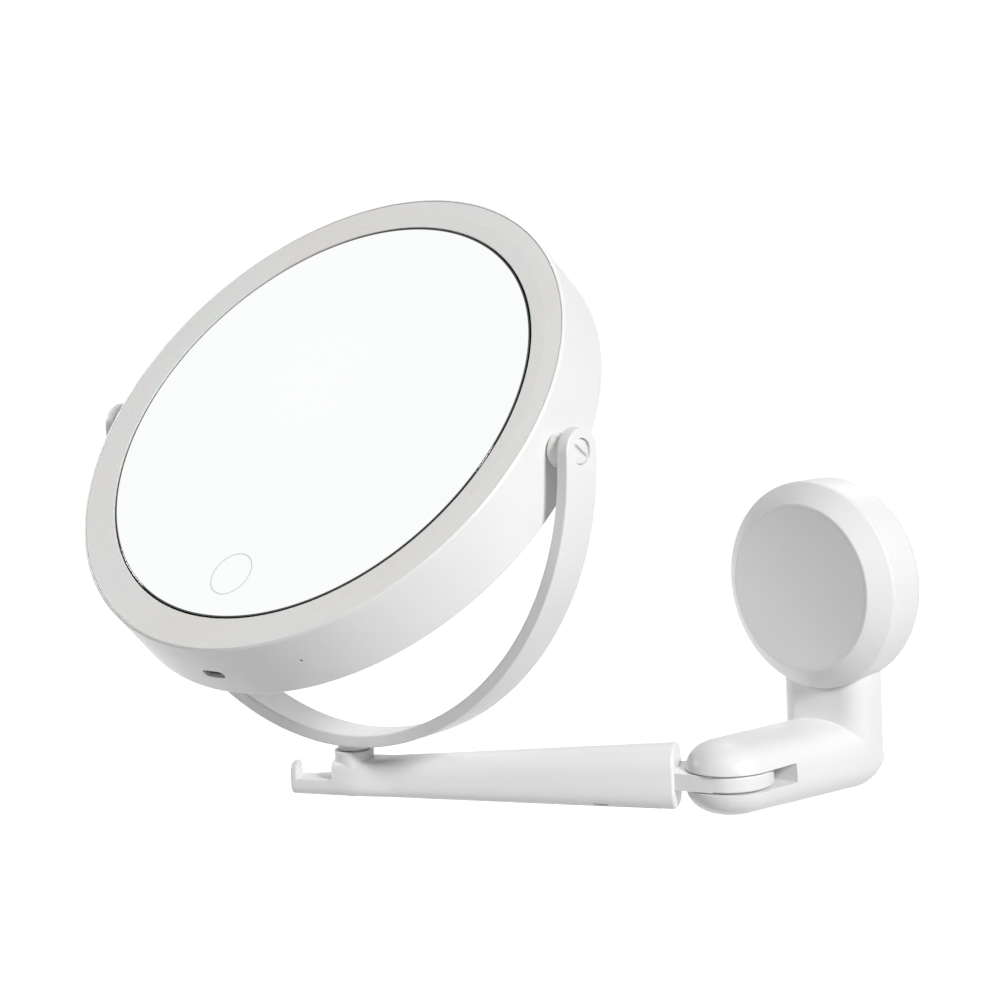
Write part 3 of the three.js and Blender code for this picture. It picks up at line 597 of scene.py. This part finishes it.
def fork_bar():
    """Horizontal bar with a free end that is round about the hinge."""
    n = FORK_ROUNDNESS
    hinge_drop = HINGE.z / MM

    def tip_ring(angle):
        offset = FORK_RADIUS * math.sin(math.radians(angle))
        top = FORK_HALF_HEIGHT * (1 - (offset / FORK_RADIUS) ** n) ** (1 / n)
        ring = []
        for side, z in superellipse(1, top, n):
            radius = FORK_RADIUS * max(0, 1 - (abs(z) / FORK_HALF_HEIGHT) ** n) ** (1 / n)
            x = math.copysign(math.sqrt(max(0, radius**2 - offset**2)), side)
            ring.append((x, -FORK_OUT - offset, hinge_drop + z))
        return ring

    def bar_ring(y, trim):
        share = (y + FORK_OUT) / (FORK_OUT - BRACKET_BACK)
        half_width = FORK_RADIUS + (BAR_END_RADIUS - FORK_RADIUS) * share
        outline = superellipse(half_width, FORK_HALF_HEIGHT - trim, n)
        return [(x, y, hinge_drop - FORK_SAG * share + z) for x, z in outline]

    tip = [tip_ring(angle) for angle in (89.5, 87.5, 85, 82, *range(78, 0, -4))]
    straight_length = FORK_OUT - BRACKET_BACK - ELBOW_RADIUS
    straight = [bar_ring(-FORK_OUT + straight_length * i / 16, 0) for i in range(16)]
    elbow = []
    for i in range(13):
        bend = math.radians(90 * i / 12)
        back = -BRACKET_BACK - ELBOW_RADIUS * (1 - math.sin(bend))
        elbow.append(bar_ring(back, ELBOW_RADIUS * (1 - math.cos(bend))))
    return loft([*tip, *straight, *elbow])


def neck_bar():
    side, front, back, corner = NECK_RADIUS, -NECK_FRONT, -BRACKET_BACK, NECK_CORNER
    outline = [(-side, back)]
    for centre, start in ((-side + corner, 180), (side - corner, 270)):
        for i in range(17):
            angle = math.radians(start + 90 * i / 16)
            across = centre + corner * math.cos(angle)
            outline.append((across, front + corner + corner * math.sin(angle)))
    outline.append((side, back))
    return prism(outline, HINGE.z / MM - FORK_SAG / 2, NECK_TOP)


def wall_bracket():
    drop = HINGE.z / MM
    band = [
        (HUB_HOLE, HUB_FRONT, 0.2), (HUB_HOLE, 7.4, 0.2), (10.1, 7.4, 0.2), (10.1, 3.9, 0.2),
        (33.4, 2.7, 0.5), (BAND_INNER, 1.2, 0.3), (BAND_INNER, BRACKET_BACK, 0.1),
        (37.45, BRACKET_BACK, 0.35), (BAND_RADIUS, BAND_FRONT, 0.1), (BAND_INNER, BAND_FRONT, 0.2),
        (BAND_INNER, WEB_FRONT, 0.6), (HUB_RADIUS, WEB_FRONT, 0.6), (HUB_RADIUS, HUB_FRONT, 0.3),
    ]
    low, high = COVER_SPAN
    near, far = COVER_DEPTH
    corner = (40, -FORK_OUT + SLOT_REACH, drop + SLOT_HALF)
    slot = block((-40, -FORK_OUT - 40, drop - SLOT_HALF), corner)
    hinge_hole = moved(rod(HINGE_HOLE, -25, -8.6), shift(0, -FORK_OUT, drop))
    made = combine(neck_bar(), [
        add(fork_bar()),
        cut(moved(rod(BAND_INNER + 1.3, -3, 40, STEPS), OUT)),
        add(moved(lathe(band), OUT)),
        cut(slot),
        cut(hinge_hole),
        cut(block((-COVER_HALF - 0.3, -far - 0.6, low - 0.3), (COVER_HALF + 0.3, 1, high + 0.3))),
    ])
    nodes = ["wall_bracket"]
    piece("wall_bracket_fine", made, BRACKET_PLACE, "base", nodes, shell, edge=0.45)
    cover = block((-COVER_HALF, -far, low), (COVER_HALF, -near, high))
    nodes = ["bracket_rear_cover"]
    piece("rear_cover_fine", cover, BRACKET_PLACE, "base", nodes, shell, edge=0.3)


def slotted_screw(name, place, size, body, node, material, slot_turn, cleft):
    """Screw whose head faces local +Z at the origin. The size is its head, shank and length."""
    head, shank, length = size
    corners = [
        (0, -length, 0), (shank, -length, 0.3), (shank, -2, 0), (head, -2, 0.15), (head, -0.35, 0.5),
        (head * 0.45, 0, 1.5), (0, 0, 0),
    ]
    groove = block((-head - 1, -cleft, -1.2), (head + 1, cleft, 1))
    made = combine(lathe(corners, SMALL_STEPS, 4), [cut(moved(groove, turn(slot_turn, "Z")))])
    piece(name, made, place, body, [node], material, edge=0.08)


def hinge_screw():
    place = Matrix.Translation(HINGE + Vector((0, 0, -13.0 * MM))) @ turn(180, "X")
    size = (4.6, 3, 21.4)
    name, node = "hinge_screw_fine", "hinge_screw"
    slotted_screw(name, place, size, "base", node, steel, 30, 0.5)


# -------------------------------------------------------------------------------------- arm pieces


def near_boss(x):
    return max(0, 1 - ((x - BOSS_AT) / BOSS_SWELL) ** 2) ** 2


def arm_half(x, which):
    """Half height (0) or half width (1) of the tapered arm, which widens a little under the boss."""
    share = (x - ARM_START) / (ARM_END - ARM_START)
    half = ARM_HALF[which] + (TIP_HALF[which] - ARM_HALF[which]) * share
    if which == 0:
        return half
    return half + near_boss(x) * max(0, BOSS_RADIUS + 0.1 - half)


def arm_body():
    """The tapered arm, whole. It is squarer on top where the boss stands on it."""
    stations = []  # (place along the arm, how much the section shrinks)
    for start, direction, rounding in ((ARM_START, 1, 1.5), (ARM_END, -1, 1.1)):
        bend = []
        for i in range(8):
            angle = math.radians(90 * i / 7)
            along = start + direction * rounding * (1 - math.sin(angle))
            bend.append((along, rounding * (1 - math.cos(angle))))
        if direction > 0:
            stations += bend[::-1]
            stations += [(BOSS_AT - BOSS_SWELL + step, 0) for step in range(22)]
        else:
            stations += bend
    rings = []
    for x, inset in stations:
        half_width, half_height = (arm_half(x, which) - inset for which in (1, 0))
        below = superellipse(half_width, half_height, ARM_ROUNDNESS)
        above = superellipse(half_width, half_height, ARM_ROUNDNESS + 4 * near_boss(x))
        middle = len(below) // 2
        outline = above[:middle + 1] + below[middle + 1:]
        rings.append([(x, y, z) for y, z in outline])
    return loft(rings)


def arm_wedge(start, end, side, depth):
    """Block across the arm's underside, this far from its sides and this deep into it."""
    rings = []
    for x in (start, end):
        half = arm_half(x, 1) - side
        low, high = -20, depth - arm_half(x, 0)
        rings.append([(x, -half, low), (x, half, low), (x, half, high), (x, -half, high)])
    return loft(rings)


def tongue_root():
    """Flat outline whose sides run from the arm's end to touch the round tongue."""
    reach = math.hypot(ARM_START, TONGUE_ROOT)
    touch = math.acos(TONGUE_RADIUS / reach) + math.atan2(TONGUE_ROOT, ARM_START)
    x = TONGUE_RADIUS * math.cos(touch) + 0.02
    y = TONGUE_RADIUS * math.sin(touch) - 0.02
    side = [(ARM_START + 4, TONGUE_ROOT), (ARM_START, TONGUE_ROOT), (x, y)]
    other = [(along, -across) for along, across in reversed(side)]
    return [other[-1], *side, *other[:-1]]


def arm_shell():
    start, end = ARM_POCKET
    half, radius = TONGUE_HALF, TONGUE_RADIUS
    tongue = [(0, -half, 0), (radius, -half, 1.2), (radius, half, 1.2), (0, half, 0)]
    boss = [
        (0, -3, 0), (BOSS_RADIUS - 0.3, -3, 0), (BOSS_RADIUS, 0, 0.2), (BOSS_RADIUS, BOSS_TOP, 0.4),
        (0, BOSS_TOP, 0),
    ]
    seat = shift(BOSS_AT, 0, 0)
    pry = ARM_SCREWS[0]
    made = combine(arm_body(), [
        cut(block((HOOK_GAP[0], -20, 0), (HOOK_GAP[1], 20, 20))),
        add(lathe(tongue)),
        add(prism(tongue_root(), -half, half)),
        add(moved(lathe(boss, 96), seat)),
        cut(moved(rod(PLUG_HOLE, -20, -2.3), seat)),
        cut(moved(rod(SPIGOT_RADIUS + 0.3, 4, 20), seat)),
        cut(rod(HINGE_HOLE, -10, 10)),
        cut(arm_wedge(start, end, SEAM_SIDE, COVER_THICKNESS + 0.6)),
        cut(arm_wedge(pry - PRY_HALF, pry + PRY_HALF, 1.9, COVER_THICKNESS + 0.9)),
    ])
    piece("arm_fine", made, ARM_PLACE, "arm", ["arm_shell"], shell, edge=0.4)
    along, across = SEAM_GAP
    plate = arm_wedge(start + along, end - along, SEAM_SIDE + across, COVER_THICKNESS)
    steps = [("INTERSECT", plate)]
    for x in ARM_SCREWS:
        sink = lathe([(0, -0.6, 0), (3.0, -0.6, 0), (1.8, 1.1, 0), (0, 1.1, 0)], SMALL_STEPS)
        steps.append(cut(moved(sink, shift(x, 0, -arm_half(x, 0)))))
    made = combine(arm_body(), steps)
    nodes = ["arm_bottom_cover"]
    piece("arm_cover_fine", made, ARM_PLACE, "arm", nodes, shell, edge=0.15)
    back = PLUG_FACE + 1.05
    plug = [(0, PLUG_FACE, 0), (PLUG_RADIUS, PLUG_FACE, 0.3), (PLUG_RADIUS, back, 0), (0, back, 0)]
    made = moved(lathe(plug, 64), seat)
    piece("swivel_plug_fine", made, ARM_PLACE, "arm", ["swivel_plug"], shell)


def crossed_screw(name, place, head, body, node):
    """Small countersunk screw with a crossed recess; its head faces local +Z."""
    corners = [
        (0, -3, 0), (head * 0.4, -3, 0), (head * 0.45, -1.1, 0.1), (head, -0.25, 0.1), (head, 0, 0.12),
        (0, 0, 0),
    ]
    arm = head * 0.6
    made = combine(lathe(corners, 40, 3), [
        cut(block((-arm, -0.3, -0.7), (arm, 0.3, 1))),
        cut(block((-0.3, -arm, -0.7), (0.3, arm, 1))),
    ])
    piece(name, made, place, body, [node], steel, edge=0.05)


def arm_screws():
    for i, x in enumerate(ARM_SCREWS, 1):
        spot = shift(x * MM, 0, (-arm_half(x, 0) + 0.15) * MM)
        place = ARM_PLACE @ spot @ turn(180, "X") @ turn(25 * i, "Z")
        crossed_screw(f"arm_screw_{i}_fine", place, ARM_SCREW_HEAD, "arm", f"arm_cover_screw_{i}")


# ------------------------------------------------------------------------------------- yoke pieces


def yoke():
    """Half-round band whose ends are round ears, with the collar and spigot below."""
    half = YOKE_WIDTH / 2
    outer = YOKE_OUTER
    within = outer - YOKE_THICKNESS
    stations = []  # (turn in degrees, height above the pivots, half width)
    lift = []
    for angle in (89, 86, 82, *range(77, 0, -7)):
        rise = math.radians(angle)
        lift.append((half * math.sin(rise), half * math.cos(rise)))
    stations += [(180, z, width) for z, width in lift]
    stations += [(180 + 180 * i / 144, 0, half) for i in range(145)]
    stations += [(360, z, width) for z, width in reversed(lift)]
    rings = []
    for angle, z, width in stations:
        corners = [(within, -width), (outer, -width), (outer, width), (within, width)]
        section = fillet([(*corner, YOKE_EDGE) for corner in corners], 4)
        c, s = math.cos(math.radians(angle)), math.sin(math.radians(angle))
        rings.append([(p.x * c, p.y, p.x * s + z) for p in section])
    bottom = -STEM_HEIGHT - 1.9
    collar = [
        (0, bottom, 0), (SPIGOT_RADIUS, bottom, 0.5), (SPIGOT_RADIUS, -COLLAR_BOTTOM, 0.1),
        (COLLAR_RADIUS, -COLLAR_BOTTOM, 0.3), (COLLAR_RADIUS, -outer + 2, 0), (0, -outer + 2, 0),
    ]
    steps = [add(lathe(collar, 96)), cut(rod(0.9, -within - 1.9, -within + 2, 24))]
    for side in (90, -90):
        sink = rod(PIVOT_HOLE_RADIUS, outer - PIVOT_HOLE_DEPTH, outer + 3, 72)
        steps.append(cut(moved(sink, turn(side, "Y"))))
        steps.append(cut(moved(rod(PIVOT_SHANK_HOLE, within - 3, outer), turn(side, "Y"))))
    made = combine(loft(rings), steps)
    piece("yoke_fine", made, YOKE_PLACE, "yoke", ["yoke_frame"], shell, edge=0.25)


# ------------------------------------------------------------------------------------- head pieces


def head_housing():
    front = HEAD_FRONT - 0.03
    corners = [
        (HEAD_FRONT_RADIUS, HEAD_FRONT - 0.8, 0.25), (99.15, front, 0.2), (RIM_INSIDE, front, 0.1),
        (RIM_INSIDE, 11.2, 0.1), (98.3, RING_SEAT, 0), (95.6, RING_SEAT, 0), (95.6, 9.2, 0),
        (WALL_INSIDE, 9.2, 0), (WALL_INSIDE, -9.9, 0), (88, -9.9, 0), (88, -11.5, 0), (95, -11.5, 0),
        (95, HEAD_REAR, 0.1), (HEAD_REAR_RADIUS, HEAD_REAR, 0.9),
    ]
    width, height, along = PORT
    r = height / 2
    outline = []
    for centre, start in ((width / 2 - r, -90), (-width / 2 + r, 90)):
        for i in range(17):
            angle = math.radians(start + 180 * i / 16)
            outline.append((centre + r * math.cos(angle), along + r * math.sin(angle)))
    port = moved(prism(outline, 92, 105), turn(90, "X"))
    hole = rod(INDICATOR_HOLE, 92, 105, 24)
    hole = moved(hole, turn(90, "X"), turn(INDICATOR_ANGLE, "Z"), shift(0, 0, 1))
    made = combine(lathe(corners, 192), [cut(port), cut(hole)])
    nodes = ["head_housing"]
    piece("head_housing_fine", made, HEAD_PLACE, "head", nodes, shell, edge=0.2)


def back_cover():
    step = BACK_FACE + 0.6
    corners = [
        (0, BACK_TOP, 0), (0, step, 0), (BACK_STEP_RADIUS, step, 0.4),
        (BACK_STEP_RADIUS + 1.2, BACK_FACE, 0.5), (BACK_RADIUS, BACK_FACE, 0.35),
        (BACK_RADIUS, BACK_TOP, 0),
    ]
    turns = [360 / BACK_SCREWS * (i + 0.5) + 18 for i in range(BACK_SCREWS)]
    sinks = []
    for angle in turns:
        sink = lathe([(0, -14, 0), (3.6, -14, 0), (1.7, -12.1, 0), (0, -12.1, 0)], SMALL_STEPS)
        sinks.append(cut(moved(sink, shift(0, -BACK_SCREW_CIRCLE, 0), turn(angle, "Z"))))
    made = combine(lathe(corners, 192), sinks)
    nodes = ["back_cover"]
    piece("back_cover_fine", made, HEAD_PLACE, "head", nodes, shell, edge=0.12)
    for i, angle in enumerate(turns, 1):
        spot = turn(angle, "Z") @ shift(0, -BACK_SCREW_CIRCLE * MM, (BACK_FACE + 0.1) * MM)
        place = HEAD_PLACE @ spot @ turn(180, "X") @ turn(37 * i, "Z")
        crossed_screw(f"back_screw_{i}_fine", place, SCREW_HEAD, "head", f"back_cover_screw_{i}")


def head_front():
    crown = HEAD_FRONT - 0.2
    back = RING_SEAT + 0.3
    corners = [
        (RING_INNER, back, 0), (RING_OUTER, back, 0), (RING_OUTER, 11.4, 0.1), (RING_LIP, 11.5, 0.1),
        (RING_LIP, crown - 0.1, 0.25), (RING_CREST, crown + 0.1, 8), (RING_INNER, crown - 0.2, 0.5),
    ]
    made = lathe(corners, 192)
    piece("ring_fine", made, HEAD_PLACE, "head", ["diffuser_ring"], ring)
    back = GLASS_FRONT - GLASS_THICKNESS
    corners = [
        (0, back, 0), (MIRROR_RADIUS, back, 0.1), (MIRROR_RADIUS, GLASS_FRONT, 0.25),
        (0, GLASS_FRONT, 0),
    ]
    made = lathe(corners, 192)
    piece("mirror_fine", made, HEAD_PLACE, "head", ["mirror_glass"], glass)


def pivots():
    inner_end, outer_end = BUSH
    size = (PIVOT_HEAD_RADIUS, 2.1, 20)
    for name, side, slot_turn in (("left", -1, -20), ("right", 1, 6)):
        face = turn(90 * side, "Y")
        corners = [
            (2.4, inner_end, 0.1), (BUSH_RADIUS, inner_end, 0.3), (BUSH_RADIUS, outer_end, 0.3),
            (2.4, outer_end, 0.1),
        ]
        bush = moved(lathe(corners, 72), face)
        node = f"pivot_bush_{name}"
        piece(f"{node}_fine", bush, HEAD_PLACE, "head", [node], nylon)
        place = HEAD_PLACE @ face @ shift(0, 0, (YOKE_OUTER - 0.35) * MM)
        node = f"pivot_screw_{name}"
        slot, material = "screw_white", screw_white
        slotted_screw(f"{node}_fine", place, size, "head", node, material, slot_turn, 0.75)


suction_pad()
knob()
wall_bracket()
hinge_screw()
arm_shell()
arm_screws()
yoke()
head_housing()
back_cover()
head_front()
pivots()

for part in frame["record"]["subparts"]:
    carried = frame["nodes"][part["node"]]
    carried.data.materials.clear()
    carried.data.materials.append(FINISHES[part["material_slot"]])

# --------------------------------------------------------------------------------- floor and lights

FLOOR_DROP = 0.42  # below the arm's hinge
FLOOR_RADIUS = 14.0
AMBIENT = 0.03
# Each soft light: azimuth and elevation in degrees, distance and size in metres, power in watts
LIGHTS = {
    "key": (80, 28, 2.2, 0.4, 43),
    "left": (-68, 20, 2.4, 0.35, 24),
    "overhead": (40, 75, 2.4, 1.6, 9),
    "rear": (205, 38, 2.4, 1.2, 9),
}
CAMERA_TURN = (45.267, 8.467, -2.862)  # azimuth, elevation and roll in degrees
CAMERA_DISTANCE = 1.071
CAMERA_ASIDE = 0.058525
CAMERA_LIFT = -0.022379
CAMERA_LENS = 107.96


def towards(azimuth, elevation):
    """Direction from the object, with azimuth 0 straight out of the wall."""
    a, e = math.radians(azimuth), math.radians(elevation)
    return Vector((math.sin(a) * math.cos(e), -math.cos(a) * math.cos(e), math.sin(e)))


def stage_material():
    """Pale floor that also looks evenly lit out to the horizon."""
    made = Nodes("pale_floor")
    made.colour(made.ramp(made.noise(3, 2), [(0.3, (0.63, 0.63, 0.625)), (0.7, (0.65, 0.65, 0.65))]))
    made.set(Roughness=0.9, Specular_IOR_Level=0.1)
    path = made.add("ShaderNodeLightPath")
    seen = made.add("ShaderNodeMath", operation="MAXIMUM")
    made.link(path.outputs["Is Camera Ray"], seen.inputs[0])
    made.link(path.outputs["Is Glossy Ray"], seen.inputs[1])
    made.shader.inputs["Emission Color"].default_value = (1, 1, 1, 1)
    made.link(seen.outputs["Value"], made.shader.inputs["Emission Strength"])
    return made.material


def floor():
    mesh = bmesh.new()
    rim = []
    for i in range(96):
        angle = 2 * math.pi * i / 96
        place = (FLOOR_RADIUS * math.cos(angle), FLOOR_RADIUS * math.sin(angle), 0)
        rim.append(mesh.verts.new(place))
    mesh.faces.new(rim)
    made = as_object(mesh, "floor")
    made.location.z = HINGE.z - FLOOR_DROP
    made.data.materials.append(stage_material())


def world():
    """Pale surround: white to the camera and the mirror, and only a faint light on the object."""
    made = bpy.data.worlds.new("studio")
    bpy.context.scene.world = made
    made.use_nodes = True
    nodes, links = made.node_tree.nodes, made.node_tree.links
    path = nodes.new("ShaderNodeLightPath")
    both = nodes.new("ShaderNodeMath")
    both.operation = "MAXIMUM"
    strength = nodes.new("ShaderNodeMapRange")
    strength.inputs["To Min"].default_value = AMBIENT
    strength.inputs["To Max"].default_value = 1
    links.new(path.outputs["Is Camera Ray"], both.inputs[0])
    links.new(path.outputs["Is Glossy Ray"], both.inputs[1])
    links.new(both.outputs["Value"], strength.inputs["Value"])
    nodes["Background"].inputs["Color"].default_value = (1, 1, 1, 1)
    links.new(strength.outputs["Result"], nodes["Background"].inputs["Strength"])


def softbox(name, azimuth, elevation, distance, size, power):
    """Square soft light that faces the head's pivots."""
    lamp = bpy.data.lights.new(name, "AREA")
    lamp.shape = "SQUARE"
    lamp.size = size
    lamp.energy = power
    made = bpy.data.objects.new(name, lamp)
    bpy.context.scene.collection.objects.link(made)
    back = towards(azimuth, elevation)
    made.location = PIVOT + back * distance
    made.rotation_euler = back.to_track_quat("Z", "Y").to_euler()


def camera():
    """The photograph's viewing angle, round the head's pivots, with its small roll."""
    azimuth, elevation, roll = CAMERA_TURN
    back = towards(azimuth, elevation)
    right = towards(azimuth + 90, 0)
    up = back.cross(right)
    tip = math.radians(roll)
    across = math.cos(tip) * right + math.sin(tip) * up
    above = -math.sin(tip) * right + math.cos(tip) * up
    lens = bpy.data.cameras.new("camera")
    lens.lens = CAMERA_LENS
    made = bpy.data.objects.new("camera", lens)
    bpy.context.scene.collection.objects.link(made)
    place = Matrix((across, above, back)).transposed().to_4x4()
    place.translation = PIVOT + CAMERA_DISTANCE * back + CAMERA_ASIDE * across + CAMERA_LIFT * above
    made.matrix_world = place
    bpy.context.scene.camera = made


floor()
world()
for name, setting in LIGHTS.items():
    softbox(name, *setting)
camera()
bpy.context.scene.view_settings.view_transform = "Standard"
